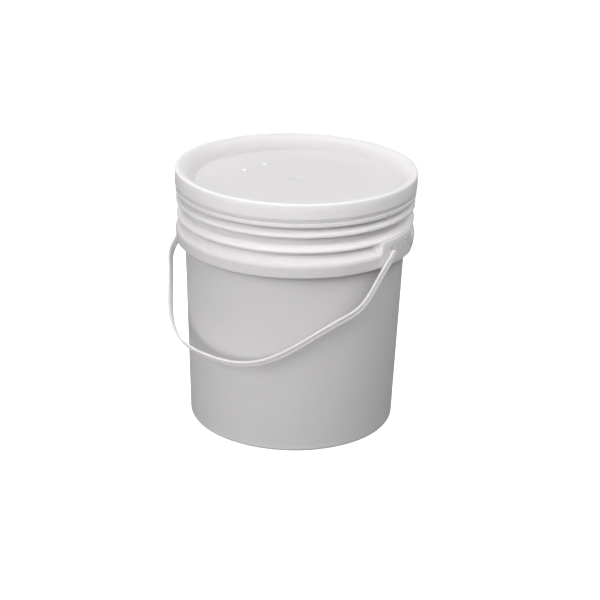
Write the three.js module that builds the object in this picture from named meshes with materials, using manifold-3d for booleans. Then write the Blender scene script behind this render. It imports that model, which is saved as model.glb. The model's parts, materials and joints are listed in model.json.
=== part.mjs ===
// A two gallon plastic pail with a press-on lid, a tear-off strip and a strap bail.
// Millimetres. The origin is the centre of the base, +Z is up, the bail's hinge lies
// along X and the bail hangs towards -Y. The pieces are five separate mouldings.

import * as THREE from 'three';
import { mergeVertices } from 'three/addons/utils/BufferGeometryUtils.js';
import Module from 'manifold-3d';

const wasm = await Module();
wasm.setup();

// ---- Driving dimensions ----------------------------------------------------------

const ROUND = 64; // facets round every turned surface
const GAP = 0.3; // gap left between two pieces that touch

// Pail
const BASE_RADIUS = 105.9; // outside of the wall, at the floor
const WALL_TAPER = 0.0308; // growth of the radius per millimetre of height
const WALL = 1.9;
const FLOOR = 2.4;
const FOOT_ROUND = 2.8;
const INSIDE_ROUND = 5;
const RIM_TOP = 257.5;
const RIM_TOP_RADIUS = 114.4; // outer edge of the rim's flat top
const RIM_BEAD_RADIUS = 117.4; // the bead that the lid snaps over
const RIM_BEAD_BOTTOM = 253.4;
const RIM_BEAD_TOP = 255.1;

// Skirt and ribs round the top of the pail
const SKIRT_BOTTOM = 191.3;
const SKIRT_TOP = 206.3;
const SKIRT_RADIUS = 121.4;
const SKIRT_EDGE_RADIUS = 120.3;
const SKIRT_WALL = 1.8;
const SKIRT_HOLLOW_TOP = 204;
const SKIRT_CROWN = { width: 3.2, height: 5 }; // rounding along its top edge
const SKIRT_SWEEP_TOP = 211.9; // where the hollow curve above it meets the wall
const LOWER_RIB = { bottom: 216.6, top: 219.4, radius: 120.1, sweepTop: 222.9 };
const UPPER_RIB = { bottom: 232.1, top: 235.7, radius: 120.8, sweepTop: 239.4 };
const LEDGE_ROUND = 0.6;

// Ears, and the hinge through them
const HINGE_HEIGHT = 202.2;
const EAR_RADIUS = 121.4;
const EAR_WALL = 2.2;
const EAR_ROOT = 111.2; // inside the thickness of the pail's wall
const EAR_HOLLOW_ROOT = 112.8; // just outside the wall
const EAR_SIDE = 1.1; // degrees of plastic at each end of the hollow
const EAR_START = -7; // degrees from the hinge line
const EAR_END = 21;
const EAR_TOP = 217.2;
const EAR_HOLLOW_TOP = 214.4;
const HINGE_HOLE = 3.3;
const SLOT_HALF_WIDTH = 1.1;
const SLOT_TOP = 7.2; // above the hinge
const PIPS = [
  { angle: 0, height: 212.6 },
  { angle: 12, height: 211.8 },
  { angle: 12, height: 207 },
];
const PIP_RADIUS = 1;
const PIP_HEIGHT = 0.5;

// Bail
const BAIL_HALF_SPAN = 123.8; // to the middle of the strap
const BAIL_DEPTH = 164.9; // from the hinge to the middle of the strap
const BAIL_STRAIGHT = 5; // straight part of each end
const BAIL_CORNER = { across: 115.5, along: 79.5, turn: 38 }; // degrees from the leg's line
const BAIL_PULLS = { leg: 45, aboveCorner: 24, belowCorner: 65, bottom: 70 }; // curve handles
const BAIL_DROOP = 39.1; // degrees below level, as it hangs
const STRAP_WIDTH = 8;
const STRAP_THICK = 2.6;
const STRAP_CHANNEL_WIDTH = 3.4;
const STRAP_CHANNEL_DEPTH = 0.5;
const END_DIMPLE_RADIUS = 1.3;
const END_DIMPLE_DEPTH = 0.6;
const STUD_RADIUS = 3;
const STUD_HEAD_RADIUS = 4.4;
const STUD_HEAD_THICK = 2.4;
const STUD_COLLAR_RADIUS = 4.6;

// Lid
const LID_TOP = 265.9;
const LID_RADIUS = 122;
const LID_SKIRT_BOTTOM = 250.2;
const LID_ROUND = 2.8;
const LID_LAND = 118.2; // inner edge of the flat top of the rim
const LID_RIM_THICK = 2.7;
const DISH_OUTER = 117.2; // the dish curves down from here to the flat panel
const DISH_OUTER_TOP = 265.4;
const PANEL_RADIUS = 101;
const PANEL_TOP = 252.6;
const PANEL_THICK = 1.8;
const PANEL_STEP = { inner: 70, outer: 74, rise: 0.3 }; // the middle stands a little higher
const GATE = { radius: 7.5, floorRadius: 4.5, depth: 1.6 }; // well at the lid's moulding point
const MARKS = [
  { circle: 55, angle: 165 },
  { circle: 57, angle: 196 },
];
const MARK_RADIUS = 3.2;
const MARK_HEIGHT = 2.2;
const PLUG_RADIUS = 111;
const PLUG_THICK = 2;
const PLUG_BOTTOM = 251.6;
const SEAT_HEIGHT = 259.1; // what the gasket presses up against
const LID_INSIDE = 118.3;
const SNAP_RADIUS = 117.75; // the bead inside the lid's edge
const SNAP_TOP = 253.3;
const SNAP_BOTTOM = 250.4;
const TEAR_NECK_RADIUS = 120.9;
const TEAR_NECK_BOTTOM = 247.1;

// Gasket and tear strip
const GASKET_INNER = 112.2;
const GASKET_OUTER = 115;
const STRIP_RADIUS = 121.4;
const STRIP_INNER = 118.5;
const STRIP_BOTTOM = 242.1;
const STRIP_BREAK = -5; // degrees from the hinge line
const STRIP_BREAK_WIDTH = 1.2;
const TAB_WIDTH = 3.2;
const TAB_BOTTOM = 240.4;

// ---- Geometry helpers ------------------------------------------------------------

const radians = THREE.MathUtils.degToRad;

// Outside radius of the pail's wall at a height.
const wallRadius = (z) => BASE_RADIUS + WALL_TAPER * z;

// Points [radius, height] along part of an ellipse, angles in degrees.
function arc(centreR, centreZ, radiusR, radiusZ, from, to, steps) {
  const points = [];
  for (let i = 0; i <= steps; i += 1) {
    const angle = radians(from + ((to - from) * i) / steps);
    points.push([centreR + radiusR * Math.cos(angle), centreZ + radiusZ * Math.sin(angle)]);
  }
  return points;
}

// Turns an outline of [radius, height] points about Z.
function turned(outline) {
  const points = outline.map(([r, z]) => new THREE.Vector2(Math.max(r, 0), z));
  return new THREE.LatheGeometry(points, ROUND).rotateX(Math.PI / 2);
}

// The same for a ring, whose outline closes on itself.
const turnedRing = (outline) => turned([...outline, outline[0]]);

// A block between two radii, two angles in degrees and two heights.
function sector(inner, outer, startAngle, endAngle, bottom, top) {
  const [start, end] = [radians(startAngle), radians(endAngle)];
  const shape = new THREE.Shape();
  shape.absarc(0, 0, outer, start, end, false);
  shape.absarc(0, 0, inner, end, start, true);
  const options = { depth: top - bottom, bevelEnabled: false, curveSegments: 6 };
  return new THREE.ExtrudeGeometry(shape, options).translate(0, 0, bottom);
}

// A round bar along X.
function barAlongX(radius, from, to, facets) {
  const bar = new THREE.CylinderGeometry(radius, radius, to - from, facets);
  return bar.rotateZ(Math.PI / 2).translate((from + to) / 2, 0, 0);
}

// A closed geometry as a solid that can be added to and cut.
function solid(geometry) {
  const bare = geometry.clone();
  bare.deleteAttribute('normal');
  bare.deleteAttribute('uv');
  const merged = mergeVertices(bare, 1e-4);
  const corners = merged.index.array;
  const triVerts = [];
  for (let i = 0; i < corners.length; i += 3) {
    const [a, b, c] = corners.slice(i, i + 3);
    if (a !== b && b !== c && c !== a) triVerts.push(a, b, c);
  }
  return new wasm.Manifold(new wasm.Mesh({
    numProp: 3,
    vertProperties: Float32Array.from(merged.attributes.position.array),
    triVerts: Uint32Array.from(triVerts),
  }));
}

// A solid back as a geometry.
function geometryOf(manifold) {
  const mesh = manifold.getMesh();
  const geometry = new THREE.BufferGeometry();
  geometry.setAttribute('position', new THREE.BufferAttribute(mesh.vertProperties, 3));
  geometry.setIndex(new THREE.BufferAttribute(mesh.triVerts, 1));
  geometry.computeVertexNormals();
  return geometry;
}

function plastic(colour, roughness) {
  return new THREE.MeshStandardMaterial({ color: colour, roughness, metalness: 0 });
}

function piece(name, geometry, material) {
  const mesh = new THREE.Mesh(geometry, material);
  mesh.name = name;
  return mesh;
}

// ---- Pail ------------------------------------------------------------------------

// A slightly hollow slope that leads from a ledge up to the wall: half a quarter ellipse,
// half a straight line.
function sweepUp(ledgeRadius, ledgeTop, sweepTop) {
  const start = ledgeRadius - LEDGE_ROUND;
  const width = start - wallRadius(sweepTop);
  const height = sweepTop - ledgeTop;
  return arc(start, sweepTop, width, height, 270, 180, 4).map(([r, z], i) => [
    (r + start - (width * i) / 4) / 2,
    (z + ledgeTop + (height * i) / 4) / 2,
  ]);
}

// A rib: underside, crest, and the hollow curve above it.
function rib({ bottom, top, radius, sweepTop }) {
  return [
    [wallRadius(bottom), bottom + LEDGE_ROUND],
    [radius - LEDGE_ROUND, bottom],
    [radius, bottom + LEDGE_ROUND],
    [radius, top - LEDGE_ROUND],
    ...sweepUp(radius, top, sweepTop),
  ];
}

function pailShell() {
  const inside = (z) => wallRadius(z) - WALL;
  const insideCorner = FLOOR + INSIDE_ROUND;
  const shoulder = SKIRT_RADIUS - SKIRT_CROWN.width;
  return turned([
    [0, 0],
    ...arc(BASE_RADIUS - FOOT_ROUND, FOOT_ROUND, FOOT_ROUND, FOOT_ROUND, 270, 360, 3),
    [wallRadius(SKIRT_HOLLOW_TOP), SKIRT_HOLLOW_TOP],
    [SKIRT_RADIUS - SKIRT_WALL - 0.8, SKIRT_HOLLOW_TOP],
    [SKIRT_EDGE_RADIUS - SKIRT_WALL, SKIRT_BOTTOM],
    [SKIRT_EDGE_RADIUS, SKIRT_BOTTOM],
    ...arc(shoulder, SKIRT_TOP - SKIRT_CROWN.height, SKIRT_CROWN.width, SKIRT_CROWN.height,
      0, 68, 3),
    ...sweepUp(shoulder + LEDGE_ROUND, SKIRT_TOP, SKIRT_SWEEP_TOP),
    ...rib(LOWER_RIB),
    ...rib(UPPER_RIB),
    [wallRadius(RIM_BEAD_BOTTOM), RIM_BEAD_BOTTOM],
    [RIM_BEAD_RADIUS, RIM_BEAD_BOTTOM + LEDGE_ROUND],
    [RIM_BEAD_RADIUS, RIM_BEAD_TOP],
    [RIM_TOP_RADIUS + LEDGE_ROUND, RIM_TOP - LEDGE_ROUND],
    [RIM_TOP_RADIUS, RIM_TOP],
    [inside(RIM_TOP) + LEDGE_ROUND, RIM_TOP],
    [inside(RIM_TOP), RIM_TOP - LEDGE_ROUND],
    ...arc(inside(insideCorner) - INSIDE_ROUND, insideCorner, INSIDE_ROUND, INSIDE_ROUND,
      0, -90, 3),
    [0, FLOOR],
  ]);
}

// The hinge hole, with a narrow slot above it that lets the ear spread over the stud.
function keyhole() {
  const shape = new THREE.Shape();
  const lip = Math.asin(SLOT_HALF_WIDTH / HINGE_HOLE);
  const up = Math.PI / 2;
  shape.absarc(0, 0, HINGE_HOLE, up + lip, up - lip + 2 * Math.PI, false);
  shape.absarc(0, SLOT_TOP - SLOT_HALF_WIDTH, SLOT_HALF_WIDTH, 0, Math.PI, false);
  const start = EAR_HOLLOW_ROOT + 1;
  const options = { depth: EAR_RADIUS + 2 - start, bevelEnabled: false, curveSegments: 12 };
  const cutter = new THREE.ExtrudeGeometry(shape, options);
  return cutter.rotateX(up).rotateZ(up).translate(start, 0, HINGE_HEIGHT);
}

function pip({ angle, height }) {
  const bar = barAlongX(PIP_RADIUS, EAR_RADIUS - 1, EAR_RADIUS + PIP_HEIGHT, 10);
  return bar.rotateZ(radians(angle)).translate(0, 0, height);
}

// Adds one ear to the pail: a plate flush with the skirt, hollow behind and open below.
function addEar(shell, turn) {
  const place = (geometry) => solid(geometry.rotateZ(radians(turn)));
  const block = sector(EAR_ROOT, EAR_RADIUS, EAR_START, EAR_END, SKIRT_BOTTOM, EAR_TOP);
  const hollow = sector(EAR_HOLLOW_ROOT, EAR_RADIUS - EAR_WALL, EAR_START + EAR_SIDE,
    EAR_END - EAR_SIDE, SKIRT_BOTTOM - 1, EAR_HOLLOW_TOP);
  const ear = shell.add(place(block)).subtract(place(hollow)).subtract(place(keyhole()));
  return PIPS.reduce((body, entry) => body.add(place(pip(entry))), ear);
}

function pailBody() {
  const geometry = geometryOf(addEar(addEar(solid(pailShell()), 0), 180));
  return piece('pail_body', geometry, plastic(0xf1f1ef, 0.42));
}

// ---- Lid, gasket and tear strip --------------------------------------------------

// Top of the dish at a radius, and the plastic's thickness straight down from there.
function dish(r) {
  const width = DISH_OUTER - PANEL_RADIUS;
  const share = (r - PANEL_RADIUS) / width;
  const rise = DISH_OUTER_TOP - PANEL_TOP;
  const slope = (6 * share * (1 - share) * rise) / width;
  return {
    top: PANEL_TOP + rise * share * share * (3 - 2 * share),
    thick: PANEL_THICK * Math.hypot(1, slope),
  };
}

// Radii evenly spaced from one to another, with both ends.
function spread(from, to, steps) {
  return Array.from({ length: steps + 1 }, (_, i) => from + ((to - from) * i) / steps);
}

function lidShell() {
  const middleTop = PANEL_TOP + PANEL_STEP.rise;
  const rimUnderside = LID_TOP - LID_RIM_THICK;
  const plugInner = PLUG_RADIUS - PLUG_THICK;
  const gateFloor = middleTop - GATE.depth;
  return turned([
    [0, gateFloor - PANEL_THICK],
    [GATE.floorRadius, gateFloor - PANEL_THICK],
    [GATE.radius, middleTop - PANEL_THICK],
    [PANEL_STEP.inner, middleTop - PANEL_THICK],
    [PANEL_STEP.outer, PANEL_TOP - PANEL_THICK],
    ...spread(PANEL_RADIUS, plugInner, 4).map((r) => [r, dish(r).top - dish(r).thick]),
    [plugInner, PLUG_BOTTOM],
    [PLUG_RADIUS - 0.7, PLUG_BOTTOM],
    [PLUG_RADIUS, SEAT_HEIGHT],
    [GASKET_OUTER + 0.6, SEAT_HEIGHT],
    [GASKET_OUTER + 1.2, rimUnderside],
    [LID_INSIDE - 0.3, rimUnderside],
    [LID_INSIDE, SNAP_TOP],
    [SNAP_RADIUS, SNAP_TOP - 0.6],
    [SNAP_RADIUS, SNAP_BOTTOM + 1],
    [LID_INSIDE + 0.1, SNAP_BOTTOM],
    [LID_INSIDE + 0.1, TEAR_NECK_BOTTOM],
    [TEAR_NECK_RADIUS, TEAR_NECK_BOTTOM],
    [TEAR_NECK_RADIUS, LID_SKIRT_BOTTOM],
    [LID_RADIUS - 0.5, LID_SKIRT_BOTTOM],
    [LID_RADIUS, LID_SKIRT_BOTTOM + 0.5],
    ...arc(LID_RADIUS - LID_ROUND, LID_TOP - LID_ROUND, LID_ROUND, LID_ROUND, 0, 90, 3),
    [LID_LAND, LID_TOP],
    ...spread(DISH_OUTER, PANEL_RADIUS, 6).map((r) => [r, dish(r).top]),
    [PANEL_STEP.outer, PANEL_TOP],
    [PANEL_STEP.inner, middleTop],
    [GATE.radius, middleTop],
    [GATE.floorRadius, gateFloor],
    [0, gateFloor],
  ]);
}

// Adds a small dome to the lid's panel.
function addMark(body, { circle, angle }) {
  const surface = PANEL_TOP + PANEL_STEP.rise;
  const dome = turned([
    [0, surface - 0.5],
    [MARK_RADIUS, surface - 0.5],
    ...arc(0, surface, MARK_RADIUS, MARK_HEIGHT, 0, 90, 4),
  ]);
  return body.add(solid(dome.translate(circle, 0, 0).rotateZ(radians(angle))));
}

function lid() {
  const body = MARKS.reduce(addMark, solid(lidShell()));
  return piece('lid', geometryOf(body), plastic(0xf4f4f2, 0.4));
}

function lidGasket() {
  const bottom = RIM_TOP + GAP;
  const top = SEAT_HEIGHT - GAP;
  const geometry = turnedRing([
    [GASKET_INNER, bottom],
    [GASKET_OUTER, bottom],
    [GASKET_OUTER, top],
    [GASKET_INNER, top],
  ]);
  return piece('lid_gasket', geometry, plastic(0xb9bbbc, 0.85));
}

// A ring below the lid's edge, with a break in it and a tab to pull.
function tearStrip() {
  const top = TEAR_NECK_BOTTOM - GAP;
  const ring = solid(turnedRing([
    [STRIP_INNER, STRIP_BOTTOM + 0.5],
    [STRIP_INNER + 0.8, STRIP_BOTTOM],
    [STRIP_RADIUS - 0.9, STRIP_BOTTOM + 0.1],
    [STRIP_RADIUS - 0.1, STRIP_BOTTOM + 1.1],
    [STRIP_RADIUS, STRIP_BOTTOM + 2.8],
    [STRIP_RADIUS - 0.4, top - 0.8],
    [STRIP_RADIUS - 1.3, top],
    [STRIP_INNER, top],
  ]));
  const degreesPerMillimetre = 180 / (Math.PI * STRIP_RADIUS);
  const breakEnd = STRIP_BREAK + STRIP_BREAK_WIDTH * degreesPerMillimetre;
  const tabEnd = breakEnd + TAB_WIDTH * degreesPerMillimetre;
  const tab = sector(STRIP_INNER + 0.6, STRIP_RADIUS - 0.8, STRIP_BREAK, tabEnd,
    TAB_BOTTOM, STRIP_BOTTOM + 1);
  const cut = sector(STRIP_INNER - 1, STRIP_RADIUS + 1, STRIP_BREAK, breakEnd,
    TAB_BOTTOM - 1, top + 1);
  const strip = ring.add(solid(tab)).subtract(solid(cut));
  return piece('tear_strip', geometryOf(strip), plastic(0xf2f2f0, 0.42));
}

// ---- Bail ------------------------------------------------------------------------

// The strap's middle line from one hinge to the other, in its own flat plane. Each leg bulges
// a little, turns at its corner and flattens out along the bottom.
function bailLine() {
  const turn = radians(BAIL_CORNER.turn);
  const leg = (side) => {
    const point = (x, y) => new THREE.Vector3(side * x, y, 0);
    const nearCorner = (distance) => point(
      BAIL_CORNER.across - distance * Math.sin(turn),
      BAIL_CORNER.along + distance * Math.cos(turn),
    );
    return [
      [point(BAIL_HALF_SPAN, 0), point(BAIL_HALF_SPAN, BAIL_STRAIGHT)],
      [
        point(BAIL_HALF_SPAN, BAIL_STRAIGHT),
        point(BAIL_HALF_SPAN, BAIL_STRAIGHT + BAIL_PULLS.leg),
        nearCorner(-BAIL_PULLS.aboveCorner),
        nearCorner(0),
      ],
      [
        nearCorner(0),
        nearCorner(BAIL_PULLS.belowCorner),
        point(BAIL_PULLS.bottom, BAIL_DEPTH),
        point(0, BAIL_DEPTH),
      ],
    ];
  };
  const farLeg = leg(-1).reverse().map((points) => points.reverse());
  const line = new THREE.CurvePath();
  for (const points of [...leg(1), ...farLeg]) {
    const Curve = points.length === 2 ? THREE.LineCurve3 : THREE.CubicBezierCurve3;
    line.add(new Curve(...points));
  }
  return line;
}

// The strap's section: x across its width, y through its thickness. The channel runs
// along the face that looks away from the pail.
function strapSection() {
  const [w, t, r] = [STRAP_WIDTH / 2, STRAP_THICK / 2, 0.5];
  const channel = STRAP_CHANNEL_WIDTH / 2;
  const floor = t - STRAP_CHANNEL_DEPTH;
  const half = [[channel - 0.4, floor], [channel, t], [w - r, t], [w, t - r], [w, r - t],
    [w - r, -t]];
  const mirrored = half.map(([x, y]) => [-x, y]).reverse();
  const outline = [...half, ...mirrored].map(([x, y]) => new THREE.Vector2(x, -y));
  return new THREE.Shape(outline);
}

// The round end of the strap with its collar, stud and head, on the +X side.
function bailEnd() {
  const inner = BAIL_HALF_SPAN - STRAP_THICK / 2;
  const outer = BAIL_HALF_SPAN + STRAP_THICK / 2;
  const headOuter = EAR_RADIUS - EAR_WALL - 0.4;
  const boss = solid(barAlongX(STRAP_WIDTH / 2, inner, outer, 24));
  const collar = solid(barAlongX(STUD_COLLAR_RADIUS, EAR_RADIUS + 0.4, inner + 0.2, 24));
  const stud = solid(barAlongX(STUD_RADIUS, headOuter - 1, inner + 0.2, 20));
  const head = solid(barAlongX(STUD_HEAD_RADIUS, headOuter - STUD_HEAD_THICK, headOuter, 20));
  return boss.add(collar).add(stud).add(head);
}

// A small dimple in the outer face of the +X end.
function endDimple() {
  const outer = BAIL_HALF_SPAN + STRAP_THICK / 2;
  return solid(barAlongX(END_DIMPLE_RADIUS, outer - END_DIMPLE_DEPTH, outer + 1, 12));
}

function bailHandle() {
  const options = { steps: 60, bevelEnabled: false, extrudePath: bailLine() };
  let handle = solid(new THREE.ExtrudeGeometry(strapSection(), options));
  for (const turn of [0, 180]) {
    handle = handle.add(bailEnd().rotate([0, 0, turn]));
    handle = handle.subtract(endDimple().rotate([0, 0, turn]));
  }
  const mesh = piece('bail_handle', geometryOf(handle), plastic(0xf5f5f3, 0.38));
  mesh.rotation.x = Math.PI + radians(BAIL_DROOP);
  mesh.position.z = HINGE_HEIGHT;
  return mesh;
}

// ---- Assembly --------------------------------------------------------------------

const pail = new THREE.Group();
pail.add(pailBody(), lid(), lidGasket(), tearStrip(), bailHandle());

export default pail;
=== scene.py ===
"""Looks of a white plastic pail with a press-on lid, a tear strip and a strap bail.

Outlines are worked out in millimetres and turned into meshes in metres, in the frame's own axes:
+Z up, the bail's hinge along X, the bail hanging towards -Y.
"""

import json
import math

import bmesh
import bpy
from mathutils import Matrix, Vector


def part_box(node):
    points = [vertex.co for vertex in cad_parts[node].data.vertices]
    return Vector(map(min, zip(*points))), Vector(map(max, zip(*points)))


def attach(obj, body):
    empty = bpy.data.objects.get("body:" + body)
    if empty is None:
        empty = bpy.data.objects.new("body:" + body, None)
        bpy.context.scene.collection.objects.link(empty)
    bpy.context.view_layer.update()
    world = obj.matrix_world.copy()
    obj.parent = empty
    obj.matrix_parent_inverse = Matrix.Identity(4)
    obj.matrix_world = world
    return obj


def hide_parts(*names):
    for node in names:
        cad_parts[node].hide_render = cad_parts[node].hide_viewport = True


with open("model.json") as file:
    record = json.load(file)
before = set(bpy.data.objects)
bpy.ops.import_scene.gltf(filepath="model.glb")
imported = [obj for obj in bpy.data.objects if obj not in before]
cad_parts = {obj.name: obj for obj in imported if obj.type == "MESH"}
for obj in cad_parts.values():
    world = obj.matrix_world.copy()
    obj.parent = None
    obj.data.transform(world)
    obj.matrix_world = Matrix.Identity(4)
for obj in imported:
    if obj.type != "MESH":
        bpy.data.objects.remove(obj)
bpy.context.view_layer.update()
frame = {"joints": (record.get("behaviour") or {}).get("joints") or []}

MM = 0.001


def box_mm(node):
    """A CAD node's lowest and highest corner, in millimetres."""
    low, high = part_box(node)
    return low / MM, high / MM


# ---- Sizes, in millimetres -------------------------------------------------------------------

lid_low, lid_high = box_mm("lid")
strip_low, strip_high = box_mm("tear_strip")
gasket_low, gasket_high = box_mm("lid_gasket")
pail_top = box_mm("pail_body")[1].z
swing = next(joint for joint in frame["joints"] if joint["name"] == "bail_swing")

# Pail
BASE_RADIUS = 105.9
WALL_TAPER = 0.0308  # radius gained per millimetre of height
WALL = 1.9
FLOOR = 2.4
FOOT_ROUND = 3.0  # under the wall
INSIDE_ROUND = 5.0  # between the wall and the floor
RIM_TOP = pail_top
RIM_TOP_RADIUS = 114.4
RIM_BEAD_RADIUS = 117.4
RIM_BEAD_BOTTOM = RIM_TOP - 4.1
RIM_BEAD_TOP = RIM_TOP - 2.4

# Skirt and ribs
SKIRT_BOTTOM = 191.3
SKIRT_TOP = 206.3
SKIRT_RADIUS = 121.4
SKIRT_EDGE_RADIUS = 120.3
SKIRT_WALL = 1.8
SKIRT_HOLLOW_TOP = 204.0
SKIRT_CROWN_WIDTH = 3.2  # rounding along its top edge
SKIRT_CROWN_HEIGHT = 5.0
SKIRT_SWEEP_TOP = 211.9  # where the slope above it meets the wall
LOWER_RIB = {"bottom": 216.6, "top": 219.4, "radius": 120.1, "sweep_top": 222.9}
UPPER_RIB = {"bottom": 232.1, "top": 235.7, "radius": 120.8, "sweep_top": 239.4}
LEDGE_ROUND = 0.6

# Ears
HINGE_HEIGHT = swing["pos_m"][2] / MM
EAR_RADIUS = 121.4
EAR_WALL = 2.2
EAR_START, EAR_END = -7.0, 21.0  # degrees from the hinge line
EAR_SOFTNESS = 2.4  # degrees over which the groove's end fills up to the ear's face
EAR_TOP = 217.2
EAR_TOP_ROUND = 3.0  # height over which its face draws in to the rib above
EAR_HOLLOW_TOP = 214.4
EAR_SIDE = 1.1  # degrees of plastic at each end of the hollow
HINGE_HOLE = 3.3
SLOT_HALF_WIDTH = 1.1
SLOT_TOP = 7.2  # above the hinge
PIPS = ((0, 212.6), (12, 211.8), (12, 207.0))  # degrees, height
PIP_RADIUS = 1.0
PIP_HEIGHT = 0.5

# Lid
LID_TOP = lid_high.z
LID_RADIUS = lid_high.x
LID_SKIRT_BOTTOM = LID_TOP - 15.7
LID_ROUND = 2.8
LID_LAND = 118.2  # where the rim's flat top ends
LID_RIM_THICK = 2.7
DISH_OUTER = 117.2  # the dish curves down from here to the flat panel
DISH_OUTER_TOP = LID_TOP - 0.5
PANEL_RADIUS = 101.0
PANEL_TOP = LID_TOP - 13.3
PANEL_THICK = 1.8
STEP_INNER, STEP_OUTER = 70.0, 74.0  # the panel's middle stands a little higher
STEP_RISE = 0.3
PLUG_RADIUS = 111.0
PLUG_THICK = 2.0
PLUG_BOTTOM = LID_TOP - 14.3
SEAT_HEIGHT = gasket_high.z + 0.3  # where the rim rests on the gasket
LID_INSIDE = 118.3
SNAP_RADIUS = 117.75
SNAP_TOP = 253.3
SNAP_BOTTOM = 250.4
NECK_RADIUS = 120.9
NECK_BOTTOM = lid_low.z
GATE_RADIUS = 7.5  # shallow well at the middle
GATE_FLOOR_RADIUS = 4.5
GATE_DEPTH = 1.6
MARKS = ((55, 165), (57, 196))  # distance from the middle, degrees
MARK_RADIUS = 3.2
MARK_HEIGHT = 2.2

# Gasket and tear strip
GASKET_RADIUS = gasket_high.x
GASKET_WIDTH = 2.8
STRIP_RADIUS = strip_high.y
STRIP_INNER = 118.5
STRIP_TOP = strip_high.z
STRIP_BOTTOM = STRIP_TOP - 4.7
STRIP_BREAK = -5.0  # degrees from the hinge line
STRIP_BREAK_WIDTH = 1.2
TAB_WIDTH = 3.2
TAB_BOTTOM = strip_low.z

# Bail
STRAP_WIDTH = 8.0
STRAP_THICK = 2.4  # a little thinner than its closed CAD body, to stay inside it
STRAP_ROUND = 0.7
CHANNEL_WIDTH = 3.4
CHANNEL_DEPTH = 0.5
BAIL_HALF_SPAN = 123.8
BAIL_DEPTH = 164.9  # from the hinge to the middle of the strap
BAIL_STRAIGHT = 5.0  # straight length below the hinge
BAIL_CORNER = Vector((115.5, 79.5))  # across, along the leg
BAIL_CORNER_TURN = 38.0  # degrees from the leg's own line
# How far each curve handle reaches from the end of its curve.
BAIL_PULLS = {"leg": 45.0, "above_corner": 24.0, "below_corner": 65.0, "bottom": 70.0}
BAIL_DROOP = 39.1  # degrees below level
END_DIMPLE_RADIUS = 1.3
END_DIMPLE_DEPTH = 0.6
STUD_RADIUS = 3.0
STUD_HEAD_RADIUS = 4.4
STUD_HEAD_THICK = 2.4
STUD_COLLAR_RADIUS = 4.6
STUD_GAP = 0.4  # between the stud's collar or head and the ear

# Mesh fineness, in steps to a turn
LID_STEPS = 360
STRIP_STEPS = 356
GASKET_STEPS = 180
STUD_STEPS = 48
SMALL_STEPS = 32
SHARP_ANGLE = 40  # degrees; edges steeper than this stay crisp

# ---- Outlines --------------------------------------------------------------------------------


def mix(a, b, share):
    return a + (b - a) * share


def smooth_step(value, start, end):
    """0 up to start, 1 from end on, and an S curve between."""
    share = min(max((value - start) / (end - start), 0.0), 1.0)
    return share * share * (3 - 2 * share)


def rounded(corners, steps=4):
    """An outline with soft corners. Each corner is (across, up, rounding)."""
    outline = []
    for i, (x, y, rounding) in enumerate(corners):
        if rounding == 0:
            outline.append((x, y))
            continue
        corner = Vector((x, y))
        before = Vector(corners[i - 1][:2]) - corner
        after = Vector(corners[(i + 1) % len(corners)][:2]) - corner
        reach = min(rounding, before.length * 0.45, after.length * 0.45)
        start = corner + before.normalized() * reach
        end = corner + after.normalized() * reach
        for step in range(steps + 1):
            t = step / steps
            point = start * (1 - t) ** 2 + corner * 2 * t * (1 - t) + end * t**2
            outline.append((point.x, point.y))
    return outline


def arc(centre, radii, start, end, steps):
    """Points along part of an ellipse, angles in degrees."""
    points = []
    for step in range(steps + 1):
        angle = math.radians(mix(start, end, step / steps))
        points.append((centre[0] + radii[0] * math.cos(angle), centre[1] + radii[1] * math.sin(angle)))
    return points


# ---- Meshes ----------------------------------------------------------------------------------


def add_grid(verts, faces, rows, close_rows, close_columns, cap_ends):
    """Adds a skin over rows of points to a mesh's lists."""
    first = len(verts)
    width = len(rows[0])
    for row in rows:
        verts.extend(row)
    for i in range(len(rows) if close_rows else len(rows) - 1):
        here = first + i * width
        there = first + ((i + 1) % len(rows)) * width
        for j in range(width if close_columns else width - 1):
            k = (j + 1) % width
            faces.append((here + j, there + j, there + k, here + k))
    if cap_ends:
        last = first + (len(rows) - 1) * width
        faces.append(tuple(range(first, first + width)))
        faces.append(tuple(range(last + width - 1, last - 1, -1)))


def turned_rows(outline_at, angles):
    """Rows of points for an outline turned about Z: outline_at(angle) lists (radius, height)."""
    rows = []
    for angle in angles:
        c, s = math.cos(math.radians(angle)), math.sin(math.radians(angle))
        rows.append([(r * c * MM, r * s * MM, z * MM) for r, z in outline_at(angle)])
    return rows


def new_piece(name, verts, faces):
    """A mesh object with its doubled points joined and its faces turned outwards."""
    mesh = bpy.data.meshes.new(name)
    mesh.from_pydata(verts, [], faces)
    clean = bmesh.new()
    clean.from_mesh(mesh)
    bmesh.ops.remove_doubles(clean, verts=clean.verts, dist=1e-6)
    bmesh.ops.dissolve_degenerate(clean, edges=clean.edges, dist=1e-7)
    bmesh.ops.recalc_face_normals(clean, faces=clean.faces)
    clean.to_mesh(mesh)
    clean.free()
    piece = bpy.data.objects.new(name, mesh)
    bpy.context.scene.collection.objects.link(piece)
    return piece


def turned_piece(name, outline, steps, ring=False):
    """A piece turned about Z. A ring's outline closes on itself, and any other one is on the axis
    at both ends."""
    verts, faces = [], []
    angles = [360 * i / steps for i in range(steps)]
    add_grid(verts, faces, turned_rows(lambda angle: outline, angles), True, ring, False)
    return new_piece(name, verts, faces)


def combine(piece, other, operation):
    """Adds another solid to the piece or takes it away, and removes the other."""
    bpy.ops.object.select_all(action="DESELECT")
    piece.select_set(True)
    modifier = piece.modifiers.new("combine", "BOOLEAN")
    modifier.operation = operation
    modifier.solver = "EXACT"
    modifier.object = other
    bpy.context.view_layer.objects.active = piece
    bpy.ops.object.modifier_apply(modifier=modifier.name)
    bpy.data.objects.remove(other)


def cut(piece, cutter):
    combine(piece, cutter, "DIFFERENCE")


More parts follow.
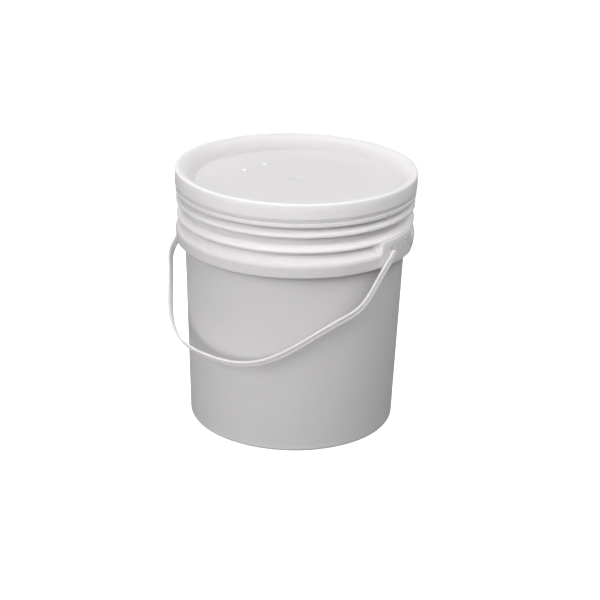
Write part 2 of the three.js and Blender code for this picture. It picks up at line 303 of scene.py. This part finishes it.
def unite(piece, others):
    for other in others:
        combine(piece, other, "UNION")
    return piece


def finish_piece(piece, material, node, body):
    """Shades a piece, gives it its material and puts it in its CAD node's place."""
    piece.data.shade_smooth()
    piece.data.set_sharp_from_angle(angle=math.radians(SHARP_ANGLE))
    normals = piece.modifiers.new("soft edges", "WEIGHTED_NORMAL")
    normals.keep_sharp = True
    piece.data.materials.clear()
    piece.data.materials.append(material)
    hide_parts(node)
    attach(piece, body)
    return piece


# ---- Pail ------------------------------------------------------------------------------------


def wall_radius(height):
    return BASE_RADIUS + WALL_TAPER * height


def sweep_up(ledge_radius, ledge_top, sweep_top):
    """A slightly hollow slope from a ledge up to the wall, halfway between a quarter ellipse and
    a straight line."""
    width = ledge_radius - wall_radius(sweep_top)
    height = sweep_top - ledge_top
    steps = 10
    curve = arc((ledge_radius, sweep_top), (width, height), 270, 180, steps)
    slope = []
    for i, (r, z) in enumerate(curve):
        share = i / steps
        slope.append((mix(r, ledge_radius - width * share, 0.5), mix(z, ledge_top + height * share, 0.5)))
    return slope


def rib(bottom, top, radius, sweep_top):
    """A rib's underside and crest, and the hollow slope above it."""
    crest = rounded([
        (wall_radius(bottom), bottom, 0),
        (radius, bottom, LEDGE_ROUND),
        (radius, top, LEDGE_ROUND),
        (radius - 2 * LEDGE_ROUND, top, 0),
    ])
    return crest[:-1] + sweep_up(radius - LEDGE_ROUND, top, sweep_top)


def ear_face(height):
    """Radius of the ear's face at a height, with its top and bottom edges rounded."""
    if not SKIRT_BOTTOM <= height <= EAR_TOP:
        return 0.0
    above = max(height - (EAR_TOP - EAR_TOP_ROUND), 0.0) / EAR_TOP_ROUND
    below = max(SKIRT_BOTTOM + LEDGE_ROUND - height, 0.0) / LEDGE_ROUND
    drawn_in_at_top = (EAR_RADIUS - LOWER_RIB["radius"]) * (1 - math.sqrt(1 - above**2))
    drawn_in_at_bottom = LEDGE_ROUND * (1 - math.sqrt(1 - below**2))
    return EAR_RADIUS - drawn_in_at_top - drawn_in_at_bottom


def pail_outline(face_share, hollow_share):
    """The pail's outline. The shares are 0 away from the ears and 1 at them."""
    hollow_top = mix(SKIRT_HOLLOW_TOP, EAR_HOLLOW_TOP, hollow_share)
    hollow_side = mix(SKIRT_RADIUS - SKIRT_WALL, EAR_RADIUS - EAR_WALL, hollow_share)
    edge_inside = mix(SKIRT_EDGE_RADIUS - SKIRT_WALL, EAR_RADIUS - EAR_WALL, hollow_share)
    under = rounded([
        (0, 0, 0),
        (BASE_RADIUS, 0, FOOT_ROUND),
        (wall_radius(hollow_top), hollow_top, 1.2),
        (hollow_side, hollow_top, 1.2),
        (edge_inside, SKIRT_BOTTOM, 0.4),
        (edge_inside + 0.9, SKIRT_BOTTOM, 0),
    ])
    skirt = rounded([
        (SKIRT_EDGE_RADIUS - 0.6, SKIRT_BOTTOM, 0),
        (SKIRT_EDGE_RADIUS, SKIRT_BOTTOM, 0.5),
        (SKIRT_RADIUS, SKIRT_TOP - SKIRT_CROWN_HEIGHT, 0),
    ])
    shoulder = SKIRT_RADIUS - SKIRT_CROWN_WIDTH
    crown_centre = (shoulder, SKIRT_TOP - SKIRT_CROWN_HEIGHT)
    outside = (
        skirt[:-1]
        + arc(crown_centre, (SKIRT_CROWN_WIDTH, SKIRT_CROWN_HEIGHT), 0, 80, 10)
        + sweep_up(shoulder, SKIRT_TOP, SKIRT_SWEEP_TOP)
        + rib(**LOWER_RIB)
        + rib(**UPPER_RIB)
    )
    outside = [(r + face_share * max(ear_face(z) - r, 0), z) for r, z in outside]
    rim_and_inside = rounded([
        (wall_radius(RIM_BEAD_BOTTOM), RIM_BEAD_BOTTOM, 0),
        (RIM_BEAD_RADIUS, RIM_BEAD_BOTTOM, 0.5),
        (RIM_BEAD_RADIUS, RIM_BEAD_TOP, 0.8),
        (RIM_TOP_RADIUS + 0.4, RIM_TOP, 0.6),
        (wall_radius(RIM_TOP) - WALL, RIM_TOP, 0.6),
        (wall_radius(FLOOR) - WALL, FLOOR, INSIDE_ROUND),
        (0, FLOOR, 0),
    ])
    return under + outside + rim_and_inside


def pail_angles():
    """Whole degrees all round, with quarter degrees across each end of the ears."""
    angles = {float(a) for a in range(360)}
    for end in (EAR_START, EAR_END):
        for half_turn in (0, 180):
            middle = end + half_turn
            angles.update((middle + i / 4) % 360 for i in range(-14, 15))
    return sorted(angles)


def ear_shares(angle):
    """How far the ear's face and the hollow behind it are built up at an angle."""
    local = (angle + 90) % 180 - 90
    rise = smooth_step(local, EAR_START - EAR_SOFTNESS, EAR_START + 0.2)
    fall = smooth_step(local, EAR_END - 0.2, EAR_END + EAR_SOFTNESS)
    hollow_rise = smooth_step(local, EAR_START + EAR_SIDE, EAR_START + EAR_SIDE + 0.6)
    hollow_fall = smooth_step(local, EAR_END - EAR_SIDE - 0.6, EAR_END - EAR_SIDE)
    return rise - fall, hollow_rise - hollow_fall


def keyhole_cutter(side):
    """A keyhole-shaped bar through one ear, along X."""
    lip = math.degrees(math.asin(SLOT_HALF_WIDTH / HINGE_HOLE))
    round_part = arc((0, 0), (HINGE_HOLE, HINGE_HOLE), 90 + lip, 450 - lip, 40)
    slot_end = arc((0, SLOT_TOP - SLOT_HALF_WIDTH), (SLOT_HALF_WIDTH, SLOT_HALF_WIDTH), 0, 180, 10)
    rows = []
    for x in (EAR_RADIUS - EAR_WALL - 3, EAR_RADIUS + 2):
        rows.append([(side * x * MM, y * MM, (HINGE_HEIGHT + z) * MM) for y, z in round_part + slot_end])
    verts, faces = [], []
    add_grid(verts, faces, rows, False, True, True)
    return new_piece("keyhole_cutter", verts, faces)


def button(name, radius, height, sunk):
    """A low round button with a soft edge, standing on the plane z = 0."""
    outline = rounded([
        (0, -sunk, 0),
        (radius, -sunk, 0),
        (radius, height, height * 0.8),
        (0, height, 0),
    ])
    return turned_piece(name, outline, SMALL_STEPS)


def pail_pips():
    """The small pips moulded on the ears."""
    pips = []
    face_outwards = Matrix.Rotation(math.pi / 2, 4, "Y")
    for turn in (0, 180):
        for angle, height in PIPS:
            pip = button("pip", PIP_RADIUS, PIP_HEIGHT, 1.0)
            place = Matrix.Translation((EAR_RADIUS * MM, 0, height * MM)) @ face_outwards
            pip.data.transform(Matrix.Rotation(math.radians(angle + turn), 4, "Z") @ place)
            pips.append(pip)
    return pips


def pail_shell():
    """The pail, with its keyholes cut and its pips added. Each shape of outline is worked out once."""
    outlines = {}

    def outline_at(angle):
        shares = ear_shares(angle)
        if shares not in outlines:
            outlines[shares] = pail_outline(*shares)
        return outlines[shares]

    verts, faces = [], []
    add_grid(verts, faces, turned_rows(outline_at, pail_angles()), True, False, False)
    shell = new_piece("pail_shell", verts, faces)
    for side in (1, -1):
        cut(shell, keyhole_cutter(side))
    return unite(shell, pail_pips())


# ---- Lid, gasket and tear strip --------------------------------------------------------------


def dish(r):
    """Heights of the dish's top and underside at a radius: an S curve of even thickness."""
    width = DISH_OUTER - PANEL_RADIUS
    share = (r - PANEL_RADIUS) / width
    rise = DISH_OUTER_TOP - PANEL_TOP
    slope = 6 * share * (1 - share) * rise / width
    top = PANEL_TOP + rise * share * share * (3 - 2 * share)
    return top, top - PANEL_THICK * math.hypot(1, slope)


def lid_outline():
    """The lid's outline: out along its underside, round the rim and back in along its top."""
    middle_top = PANEL_TOP + STEP_RISE
    rim_underside = LID_TOP - LID_RIM_THICK
    plug_inner = PLUG_RADIUS - PLUG_THICK
    gate_floor = middle_top - GATE_DEPTH
    under_dish = [mix(PANEL_RADIUS, plug_inner, i / 12) for i in range(12)]
    over_dish = [mix(DISH_OUTER, PANEL_RADIUS, i / 24) for i in range(1, 24)]
    return rounded([
        (0, gate_floor - PANEL_THICK, 0),
        (GATE_FLOOR_RADIUS, gate_floor - PANEL_THICK, 1),
        (GATE_RADIUS, middle_top - PANEL_THICK, 1),
        (STEP_INNER, middle_top - PANEL_THICK, 2),
        (STEP_OUTER, PANEL_TOP - PANEL_THICK, 2),
        *((r, dish(r)[1], 0) for r in under_dish),
        (plug_inner, dish(plug_inner)[1], 0.4),
        (plug_inner, PLUG_BOTTOM, 0.5),
        (PLUG_RADIUS - 0.7, PLUG_BOTTOM, 0.5),
        (PLUG_RADIUS, SEAT_HEIGHT, 0.5),
        (GASKET_RADIUS + 0.6, SEAT_HEIGHT, 0.3),
        (GASKET_RADIUS + 1.2, rim_underside, 0.8),
        (LID_INSIDE - 0.3, rim_underside, 0.8),
        (LID_INSIDE, SNAP_TOP, 0.4),
        (SNAP_RADIUS, SNAP_TOP - 0.6, 0.3),
        (SNAP_RADIUS, SNAP_BOTTOM + 1, 0.4),
        (LID_INSIDE + 0.1, SNAP_BOTTOM, 0.4),
        (LID_INSIDE + 0.1, NECK_BOTTOM, 0.2),
        (NECK_RADIUS, NECK_BOTTOM, 0.2),
        (NECK_RADIUS, LID_SKIRT_BOTTOM, 0.3),
        (LID_RADIUS, LID_SKIRT_BOTTOM, 0.6),
        (LID_RADIUS, LID_TOP, LID_ROUND),
        (LID_LAND, LID_TOP, 0.5),
        (DISH_OUTER, DISH_OUTER_TOP, 0.3),
        *((r, dish(r)[0], 0) for r in over_dish),
        (PANEL_RADIUS, PANEL_TOP, 0),
        (STEP_OUTER, PANEL_TOP, 2),
        (STEP_INNER, middle_top, 2),
        (GATE_RADIUS, middle_top, 0.9),
        (GATE_FLOOR_RADIUS, gate_floor, 1.2),
        (0, gate_floor, 0),
    ], steps=5)


def mark_dome(circle, angle):
    """A small dome on the lid's panel, with a soft foot."""
    foot = arc((MARK_RADIUS, 0.4), (0.6, 0.4), 270, 205, 4)
    curve = arc((0, 0), (MARK_RADIUS - 0.2, MARK_HEIGHT), 10, 90, 10)
    dome = turned_piece("mark_dome", [(0, -0.5), (MARK_RADIUS, -0.5), *foot, *curve], SMALL_STEPS)
    dome.data.transform(Matrix.Translation((circle * MM, 0, (PANEL_TOP + STEP_RISE) * MM)))
    dome.data.transform(Matrix.Rotation(math.radians(angle), 4, "Z"))
    return dome


def lid_shell():
    shell = turned_piece("lid_shell", lid_outline(), LID_STEPS)
    return unite(shell, [mark_dome(circle, angle) for circle, angle in MARKS])


def gasket_ring():
    inner = GASKET_RADIUS - GASKET_WIDTH
    outline = rounded([
        (inner, gasket_low.z, 0.3),
        (GASKET_RADIUS, gasket_low.z, 0.3),
        (GASKET_RADIUS, gasket_high.z, 0.3),
        (inner, gasket_high.z, 0.3),
    ])
    return turned_piece("gasket_ring", outline, GASKET_STEPS, ring=True)


def tear_strip_ring():
    """A bead that runs nearly all the way round, with a pull tab beside its break."""
    degrees_per_mm = 180 / (math.pi * STRIP_RADIUS)
    start = STRIP_BREAK + STRIP_BREAK_WIDTH * degrees_per_mm
    tab_end = start + TAB_WIDTH * degrees_per_mm
    bead = rounded([
        (STRIP_INNER, STRIP_BOTTOM, 0.6),
        (STRIP_RADIUS, STRIP_BOTTOM, 1.4),
        (STRIP_RADIUS, STRIP_TOP, 1.2),
        (STRIP_INNER, STRIP_TOP, 0.3),
    ], steps=6)
    tab = rounded([
        (STRIP_INNER + 0.6, TAB_BOTTOM, 0.4),
        (STRIP_RADIUS - 0.8, TAB_BOTTOM, 0.4),
        (STRIP_RADIUS - 0.8, STRIP_BOTTOM + 1, 0.3),
        (STRIP_INNER + 0.6, STRIP_BOTTOM + 1, 0.3),
    ])
    verts, faces = [], []
    round_angles = [mix(start, STRIP_BREAK + 360, i / STRIP_STEPS) for i in range(STRIP_STEPS + 1)]
    tab_angles = [mix(start, tab_end, i / 4) for i in range(5)]
    add_grid(verts, faces, turned_rows(lambda angle: bead, round_angles), False, True, True)
    add_grid(verts, faces, turned_rows(lambda angle: tab, tab_angles), False, True, True)
    return new_piece("tear_strip_ring", verts, faces)


# ---- Bail ------------------------------------------------------------------------------------


def bezier(points, t):
    """A point and its direction on a cubic curve."""
    a, b, c, d = points
    s = 1 - t
    place = a * s**3 + b * 3 * s * s * t + c * 3 * s * t * t + d * t**3
    along = (b - a) * 3 * s * s + (c - b) * 6 * s * t + (d - c) * 3 * t * t
    return place, along.normalized()


def bail_line():
    """The strap's middle line in its own flat plane, as (place, direction, distance to the nearer
    hinge)."""
    turn = math.radians(BAIL_CORNER_TURN)
    past_corner = Vector((-math.sin(turn), math.cos(turn)))
    leg = [
        Vector((BAIL_HALF_SPAN, BAIL_STRAIGHT)),
        Vector((BAIL_HALF_SPAN, BAIL_STRAIGHT + BAIL_PULLS["leg"])),
        BAIL_CORNER - past_corner * BAIL_PULLS["above_corner"],
        BAIL_CORNER,
    ]
    bottom = [
        BAIL_CORNER,
        BAIL_CORNER + past_corner * BAIL_PULLS["below_corner"],
        Vector((BAIL_PULLS["bottom"], BAIL_DEPTH)),
        Vector((0, BAIL_DEPTH)),
    ]
    half = [(Vector((BAIL_HALF_SPAN, BAIL_STRAIGHT * i / 4)), Vector((0, 1))) for i in range(4)]
    half += [bezier(leg, i / 60) for i in range(60)]
    half += [bezier(bottom, i / 40) for i in range(41)]
    line = []
    distance = 0.0
    for i, (place, along) in enumerate(half):
        if i > 0:
            distance += (place - half[i - 1][0]).length
        line.append((place, along, distance))
    other = [(Vector((-p.x, p.y)), Vector((a.x, -a.y)), d) for p, a, d in reversed(line[:-1])]
    return line + other


def strap_section(channel_depth):
    """The strap's section: (across its width, outwards through its thickness)."""
    w, t = STRAP_WIDTH / 2, STRAP_THICK / 2
    c = CHANNEL_WIDTH / 2
    return rounded([
        (-w, -t, STRAP_ROUND),
        (w, -t, STRAP_ROUND),
        (w, t, STRAP_ROUND),
        (c, t, 0.3),
        (c - 0.4, t - channel_depth, 0.3),
        (0.4 - c, t - channel_depth, 0.3),
        (-c, t, 0.3),
        (-w, t, STRAP_ROUND),
    ], steps=5)


def strap_rows():
    """Sections along the strap, from the tip of one round end to the tip of the other."""

    def section_row(place, along, depth, past):
        """A section that lies a distance past the hinge, narrowed to fit the round end there."""
        outward = Vector((along.y, -along.x))
        row = []
        for across, out in strap_section(depth):
            reach = min(past, abs(across))
            side = math.copysign(math.sqrt(across**2 - reach**2), across)
            point = place - along * reach + outward * out
            row.append((point.x * MM, point.y * MM, side * MM))
        return row

    line = bail_line()
    tips = [STRAP_WIDTH / 2 * math.sin(math.radians(angle)) for angle in range(90, 0, -6)]
    first, last = line[0], line[-1]
    rows = [section_row(first[0], first[1], 0, tip) for tip in tips]
    for place, along, distance in line:
        depth = CHANNEL_DEPTH * smooth_step(distance, STRAP_WIDTH * 0.55, STRAP_WIDTH)
        rows.append(section_row(place, along, depth, 0))
    for tip in reversed(tips):
        row = section_row(last[0], -last[1], 0, tip)
        mirrored = section_row(last[0], last[1], 0, 0)
        rows.append([(m[0], r[1], r[2]) for m, r in zip(mirrored, row)])
    return rows


def bail_stud(side):
    """The collar, stud and head behind one end of the strap."""
    inner = BAIL_HALF_SPAN - STRAP_THICK / 2
    head_outer = EAR_RADIUS - EAR_WALL - STUD_GAP
    outline = rounded([
        (0, head_outer - STUD_HEAD_THICK, 0),
        (STUD_HEAD_RADIUS, head_outer - STUD_HEAD_THICK, 0.9),
        (STUD_HEAD_RADIUS, head_outer, 0.3),
        (STUD_RADIUS, head_outer, 0.2),
        (STUD_RADIUS, EAR_RADIUS + STUD_GAP, 0.2),
        (STUD_COLLAR_RADIUS, EAR_RADIUS + STUD_GAP, 0.2),
        (STUD_COLLAR_RADIUS, inner + 0.2, 0.2),
        (0, inner + 0.2, 0),
    ])
    stud = turned_piece("stud", outline, STUD_STEPS)
    stud.data.transform(Matrix.Rotation(side * math.pi / 2, 4, "Y"))
    return stud


def dimple_cutter(side):
    """A shallow bowl in the outer face of one end."""
    outer = BAIL_HALF_SPAN + STRAP_THICK / 2
    outline = rounded([
        (0, outer - END_DIMPLE_DEPTH, 0),
        (END_DIMPLE_RADIUS * 0.8, outer - END_DIMPLE_DEPTH, 0.4),
        (END_DIMPLE_RADIUS, outer + 1, 0),
        (0, outer + 1, 0),
    ])
    cutter = turned_piece("dimple_cutter", outline, SMALL_STEPS)
    cutter.data.transform(Matrix.Rotation(side * math.pi / 2, 4, "Y"))
    return cutter


def strap_bail():
    """The strap with its end dimples and studs, turned to hang at its droop."""
    verts, faces = [], []
    add_grid(verts, faces, strap_rows(), False, True, False)
    bail = new_piece("strap_bail", verts, faces)
    for side in (1, -1):
        cut(bail, dimple_cutter(side))
    unite(bail, [bail_stud(side) for side in (1, -1)])
    droop = Matrix.Rotation(math.pi + math.radians(BAIL_DROOP), 4, "X")
    bail.data.transform(Matrix.Translation((0, 0, HINGE_HEIGHT * MM)) @ droop)
    return bail


# ---- Materials -------------------------------------------------------------------------------


class NodeMaker:
    """Short calls for building a material's node tree."""

    def __init__(self, material):
        material.use_nodes = True
        self.tree = material.node_tree
        self.shader = self.tree.nodes["Principled BSDF"]
        self.place = self.add("ShaderNodeTexCoord").outputs["Object"]

    def add(self, kind, **settings):
        node = self.tree.nodes.new(kind)
        for name, value in settings.items():
            setattr(node, name, value)
        return node

    def link(self, source, target):
        self.tree.links.new(source, target)

    def noise(self, scale, detail=2.0, roughness=0.5):
        """Noise over the object, with its scale in features per metre."""
        noise = self.add("ShaderNodeTexNoise")
        noise.inputs["Scale"].default_value = scale
        noise.inputs["Detail"].default_value = detail
        noise.inputs["Roughness"].default_value = roughness
        self.link(self.place, noise.inputs["Vector"])
        return noise.outputs["Fac"]

    def span(self, source, low, high, start=0.35, end=0.65):
        """Maps start to end of a source onto low to high."""
        node = self.add("ShaderNodeMapRange")
        node.inputs["From Min"].default_value = start
        node.inputs["From Max"].default_value = end
        node.inputs["To Min"].default_value = low
        node.inputs["To Max"].default_value = high
        self.link(source, node.inputs["Value"])
        return node.outputs["Result"]

    def blend_colours(self, share, first, second):
        node = self.add("ShaderNodeMix", data_type="RGBA")
        colours = [s for s in node.inputs if s.type == "RGBA"]
        colours[0].default_value = (*first, 1)
        colours[1].default_value = (*second, 1)
        self.link(share, node.inputs["Factor"])
        return [s for s in node.outputs if s.type == "RGBA"][0]

    def bump(self, height, strength, distance, below=None):
        node = self.add("ShaderNodeBump")
        node.inputs["Strength"].default_value = strength
        node.inputs["Distance"].default_value = distance
        self.link(height, node.inputs["Height"])
        if below is not None:
            self.link(below, node.inputs["Normal"])
        return node.outputs["Normal"]


PLASTIC_IOR = 1.5
PLASTIC_SHINE = 0.15  # the shader's specular level
PLASTIC_SCATTER = 0.9  # share of the light that goes into the plastic
PLASTIC_SCATTER_DEPTH = 0.008


def moulded_plastic(name, light, dark, roughness):
    """Satin white polyethylene: cloudy tone, soft shine that varies, an eggshell skin and a fine
    grain."""
    material = bpy.data.materials.new(name)
    maker = NodeMaker(material)
    shader = maker.shader
    cloud = maker.noise(14, detail=3)
    maker.link(maker.blend_colours(maker.span(cloud, 0, 1), dark, light), shader.inputs["Base Color"])
    patches = maker.noise(60, detail=4, roughness=0.6)
    shine = maker.span(patches, roughness - 0.05, roughness + 0.06)
    maker.link(shine, shader.inputs["Roughness"])
    eggshell = maker.noise(260, detail=2)
    skin = maker.noise(2600, detail=2)
    soft = maker.bump(eggshell, 0.25, 0.0002)
    maker.link(maker.bump(skin, 0.18, 0.00006, below=soft), shader.inputs["Normal"])
    shader.inputs["IOR"].default_value = PLASTIC_IOR
    shader.inputs["Specular IOR Level"].default_value = PLASTIC_SHINE
    shader.inputs["Subsurface Weight"].default_value = PLASTIC_SCATTER
    shader.inputs["Subsurface Radius"].default_value = (1.0, 1.0, 1.0)
    shader.inputs["Subsurface Scale"].default_value = PLASTIC_SCATTER_DEPTH
    return material


def foam_rubber():
    """Grey foam with open pores."""
    material = bpy.data.materials.new("foam_rubber")
    maker = NodeMaker(material)
    shader = maker.shader
    pores = maker.noise(1800, detail=3)
    tone = maker.blend_colours(maker.span(pores, 0, 1), (0.30, 0.31, 0.32), (0.46, 0.47, 0.48))
    maker.link(tone, shader.inputs["Base Color"])
    maker.link(maker.span(pores, 0.95, 0.8), shader.inputs["Roughness"])
    maker.link(maker.bump(pores, 0.5, 0.0002), shader.inputs["Normal"])
    return material


def studio_floor():
    """A pale, evenly lit table top with a slight grain."""
    material = bpy.data.materials.new("studio_floor")
    maker = NodeMaker(material)
    shader = maker.shader
    grain = maker.span(maker.noise(90, detail=4), 0, 1)
    tone = maker.blend_colours(grain, (0.93, 0.93, 0.93), (0.95, 0.95, 0.95))
    maker.link(tone, shader.inputs["Base Color"])
    shader.inputs["Roughness"].default_value = 0.9
    shader.inputs["Specular IOR Level"].default_value = 0.1
    shader.inputs["Emission Color"].default_value = (1, 1, 1, 1)
    shader.inputs["Emission Strength"].default_value = FLOOR_GLOW
    return material


def bounce_floor():
    """The floor as the object's light sees it."""
    material = bpy.data.materials.new("bounce_floor")
    maker = NodeMaker(material)
    low, high = (FLOOR_BOUNCE * 0.95,) * 3, (FLOOR_BOUNCE * 1.05,) * 3
    shade = maker.span(maker.noise(4), 0, 1)
    maker.link(maker.blend_colours(shade, low, high), maker.shader.inputs["Base Color"])
    maker.shader.inputs["Roughness"].default_value = 1.0
    return material


# ---- Studio ----------------------------------------------------------------------------------

CAMERA_AZIMUTH = 38.5  # degrees round the object, 0 looking along +Y
CAMERA_ELEVATION = 21.92
CAMERA_DISTANCE = 1.681  # metres
CAMERA_TARGET = 0.120  # height that the distance and elevation are measured from
CAMERA_PITCH = 21.88  # degrees that it looks down
CAMERA_YAW = 0.231
CAMERA_ROLL = 1.335
CAMERA_LENS = 97.33
CAMERA_SENSOR = 36
CAMERA_REACH = 50  # metres that it sees
FLOOR_GLOW = 0.85  # keeps the floor white to the camera
FLOOR_BOUNCE = 0.15  # how pale the floor is to the object's light
FLOOR_RINGS = (0.0, 0.2, 0.4, 0.8, 1.6, 3.0, 6.0)  # radii, in metres
FLOOR_STEPS = 96
WORLD_LIGHT = 0.2
LIGHT_DISTANCE = 1.4
LIGHT_SIZE = 0.9
LIGHT_TINT = (1.0, 0.977, 0.982)
SOFTBOXES = (  # azimuth from the camera's side, elevation, power
    ("front left", -35, 20, 10.1),
    ("front right", 15, 45, 7.5),
    ("right", 80, 45, 5.0),
    ("back", -150, 45, 8.1),
)


def around(azimuth, elevation, distance):
    """A point round the object's middle. Azimuth is from the camera's side, positive to the right."""
    a, e = math.radians(CAMERA_AZIMUTH + azimuth), math.radians(elevation)
    flat = distance * math.cos(e)
    return Vector((flat * math.sin(a), -flat * math.cos(a), CAMERA_TARGET + distance * math.sin(e)))


def add_camera():
    data = bpy.data.cameras.new("camera")
    data.lens = CAMERA_LENS
    data.sensor_width = CAMERA_SENSOR
    data.clip_end = CAMERA_REACH
    camera = bpy.data.objects.new("camera", data)
    bpy.context.scene.collection.objects.link(camera)
    turn = Matrix.Rotation(math.radians(CAMERA_AZIMUTH), 4, "Z")
    tilt = Matrix.Rotation(math.radians(90 - CAMERA_PITCH), 4, "X")
    yaw = Matrix.Rotation(math.radians(-CAMERA_YAW), 4, "Y")
    roll = Matrix.Rotation(math.radians(CAMERA_ROLL), 4, "Z")
    place = Matrix.Translation(around(0, CAMERA_ELEVATION, CAMERA_DISTANCE))
    camera.matrix_world = place @ turn @ tilt @ yaw @ roll
    bpy.context.scene.camera = camera


def add_softbox(name, azimuth, elevation, power):
    """A square, slightly warm soft light that faces the object."""
    data = bpy.data.lights.new(name, "AREA")
    data.size = LIGHT_SIZE
    data.color = LIGHT_TINT
    data.energy = power
    light = bpy.data.objects.new(name, data)
    bpy.context.scene.collection.objects.link(light)
    light.location = around(azimuth, elevation, LIGHT_DISTANCE)
    to_middle = Vector((0, 0, CAMERA_TARGET)) - light.location
    light.rotation_euler = to_middle.to_track_quat("-Z", "Y").to_euler()


def add_world():
    """A white backdrop that lights the object only a little."""
    world = bpy.data.worlds.new("studio")
    world.use_nodes = True
    tree = world.node_tree
    background = tree.nodes["Background"]
    background.inputs["Color"].default_value = (1, 1, 1, 1)
    ray = tree.nodes.new("ShaderNodeLightPath")
    strength = tree.nodes.new("ShaderNodeMapRange")
    strength.inputs["To Min"].default_value = WORLD_LIGHT
    strength.inputs["To Max"].default_value = 1.0
    tree.links.new(ray.outputs["Is Camera Ray"], strength.inputs["Value"])
    tree.links.new(strength.outputs["Result"], background.inputs["Strength"])
    bpy.context.scene.world = world


def floor_disc(name, height, material):
    """A round sheet of floor, which stands apart from the object's pieces."""
    verts, faces = [], []
    rows = []
    for i in range(FLOOR_STEPS):
        angle = 2 * math.pi * i / FLOOR_STEPS
        rows.append([(r * math.cos(angle), r * math.sin(angle), height) for r in FLOOR_RINGS])
    add_grid(verts, faces, rows, True, False, False)
    disc = new_piece(name, verts, faces)
    disc.data.materials.append(material)
    return disc


def add_floor():
    """A pale floor for the camera, over a darker one that only bounces light onto the object."""
    pale = floor_disc("studio_floor", -0.0002, studio_floor())
    pale.visible_diffuse = False
    pale.visible_glossy = False
    pale.visible_shadow = False
    dark = floor_disc("bounce_floor", -0.0004, bounce_floor())
    dark.visible_camera = False
    dark.visible_glossy = False


# ---- Assembly --------------------------------------------------------------------------------

WHITE = (0.945, 0.926, 0.931)
WHITE_SHADE = (0.926, 0.907, 0.912)
STRAP_WHITE = (0.90, 0.88, 0.88)
STRAP_SHADE = (0.88, 0.86, 0.86)

finish_piece(
    pail_shell(), moulded_plastic("pail_plastic", WHITE, WHITE_SHADE, 0.42),
    "pail_body", "pail",
)
finish_piece(
    lid_shell(), moulded_plastic("lid_plastic", WHITE, WHITE_SHADE, 0.56),
    "lid", "lid",
)
finish_piece(gasket_ring(), foam_rubber(), "lid_gasket", "lid")
finish_piece(
    tear_strip_ring(), moulded_plastic("strip_plastic", WHITE, WHITE_SHADE, 0.42),
    "tear_strip", "lid",
)
finish_piece(
    strap_bail(), moulded_plastic("bail_plastic", STRAP_WHITE, STRAP_SHADE, 0.5),
    "bail_handle", "bail",
)

add_camera()
add_world()
add_floor()
for softbox in SOFTBOXES:
    add_softbox(*softbox)
bpy.context.scene.view_settings.view_transform = "Standard"  # keeps the plain backdrop white
